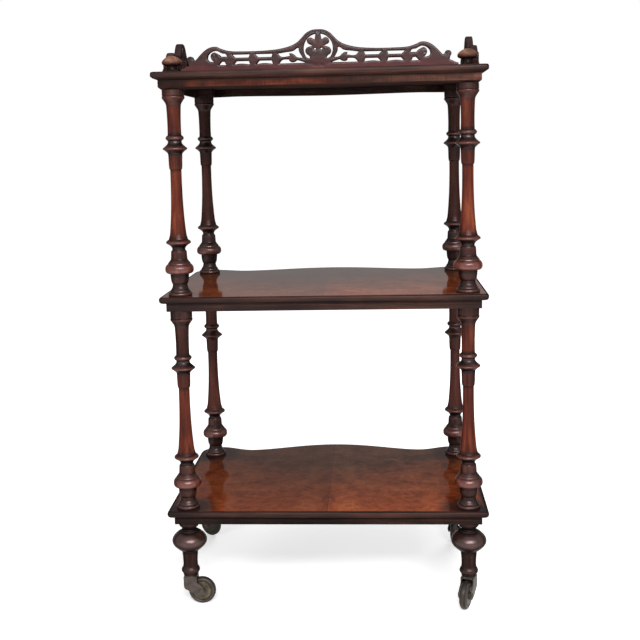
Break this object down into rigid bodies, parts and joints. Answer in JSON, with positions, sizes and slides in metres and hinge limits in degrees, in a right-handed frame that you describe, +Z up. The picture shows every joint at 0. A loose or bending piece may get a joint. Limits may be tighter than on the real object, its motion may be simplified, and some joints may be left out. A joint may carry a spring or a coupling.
{
  "type": "etagere",
  "caption": "Walnut etagere with serpentine tiers on turned posts, a fretted gallery round the top and brass swivel casters; it holds things and rolls.",
  "frame": {"origin": "on the floor, under the middle of the whole stand's box", "axes": "+Z up; +X to the right seen from the straight side; +Y from the straight side, where the high gallery stands, to the serpentine side"},
  "size_m": [0.619, 0.4652, 1.09],
  "materials": {
    "figured_walnut": "french polished",
    "dark_walnut": "satin",
    "crossbanded_walnut": "satin",
    "turned_walnut": "french polished",
    "fretted_walnut": "satin",
    "old_brass": "tarnished"
  },
  "bodies": {
    "stand": {"bottom_board": "figured_walnut", "bottom_near_rail": "dark_walnut", "bottom_far_rail": "dark_walnut", "bottom_left_rail": "dark_walnut", "bottom_right_rail": "dark_walnut", "middle_board": "figured_walnut", "middle_near_rail": "dark_walnut", "middle_far_rail": "dark_walnut", "middle_left_rail": "dark_walnut", "middle_right_rail": "dark_walnut", "top_board": "figured_walnut", "top_near_rail": "crossbanded_walnut", "top_far_rail": "crossbanded_walnut", "top_left_rail": "crossbanded_walnut", "top_right_rail": "crossbanded_walnut", "near_left_foot": "turned_walnut", "near_left_lower_post": "turned_walnut", "near_left_upper_post": "turned_walnut", "near_left_finial": "turned_walnut", "near_right_foot": "turned_walnut", "near_right_lower_post": "turned_walnut", "near_right_upper_post": "turned_walnut", "near_right_finial": "turned_walnut", "far_left_foot": "turned_walnut", "far_left_lower_post": "turned_walnut", "far_left_upper_post": "turned_walnut", "far_right_foot": "turned_walnut", "far_right_lower_post": "turned_walnut", "far_right_upper_post": "turned_walnut", "back_gallery": "fretted_walnut", "left_gallery": "fretted_walnut", "right_gallery": "fretted_walnut", "near_left_caster_plate": "old_brass", "near_right_caster_plate": "old_brass", "far_left_caster_plate": "old_brass", "far_right_caster_plate": "old_brass"},
    "near_left_fork": {"near_left_caster_fork": "old_brass", "near_left_caster_axle": "old_brass"},
    "near_left_wheel": {"near_left_caster_wheel": "old_brass"},
    "near_right_fork": {"near_right_caster_fork": "old_brass", "near_right_caster_axle": "old_brass"},
    "near_right_wheel": {"near_right_caster_wheel": "old_brass"},
    "far_left_fork": {"far_left_caster_fork": "old_brass", "far_left_caster_axle": "old_brass"},
    "far_left_wheel": {"far_left_caster_wheel": "old_brass"},
    "far_right_fork": {"far_right_caster_fork": "old_brass", "far_right_caster_axle": "old_brass"},
    "far_right_wheel": {"far_right_caster_wheel": "old_brass"}
  },
  "joints": [
    {"name": "near_left_swivel", "type": "hinge", "parent": "stand", "child": "near_left_fork", "pos_m": [-0.2645, -0.18536, 0.055], "axis": [0, 0, 1], "continuous": true},
    {"name": "near_left_roll", "type": "hinge", "parent": "near_left_fork", "child": "near_left_wheel", "pos_m": [-0.243, -0.18536, 0.0265], "axis": [0, 1, 0], "continuous": true},
    {"name": "near_right_swivel", "type": "hinge", "parent": "stand", "child": "near_right_fork", "pos_m": [0.2735, -0.18536, 0.055], "axis": [0, 0, 1], "continuous": true},
    {"name": "near_right_roll", "type": "hinge", "parent": "near_right_fork", "child": "near_right_wheel", "pos_m": [0.2658, -0.20543, 0.0265], "axis": [0.9336, -0.3584, 0], "continuous": true},
    {"name": "far_left_swivel", "type": "hinge", "parent": "stand", "child": "far_left_fork", "pos_m": [-0.2645, 0.15664, 0.055], "axis": [0, 0, 1], "continuous": true},
    {"name": "far_left_roll", "type": "hinge", "parent": "far_left_fork", "child": "far_left_wheel", "pos_m": [-0.28311, 0.16739, 0.0265], "axis": [-0.5, -0.866, 0], "continuous": true},
    {"name": "far_right_swivel", "type": "hinge", "parent": "stand", "child": "far_right_fork", "pos_m": [0.2735, 0.15664, 0.055], "axis": [0, 0, 1], "continuous": true},
    {"name": "far_right_roll", "type": "hinge", "parent": "far_right_fork", "child": "far_right_wheel", "pos_m": [0.26903, 0.13561, 0.0265], "axis": [0.9781, -0.2079, 0], "continuous": true}
  ]
}
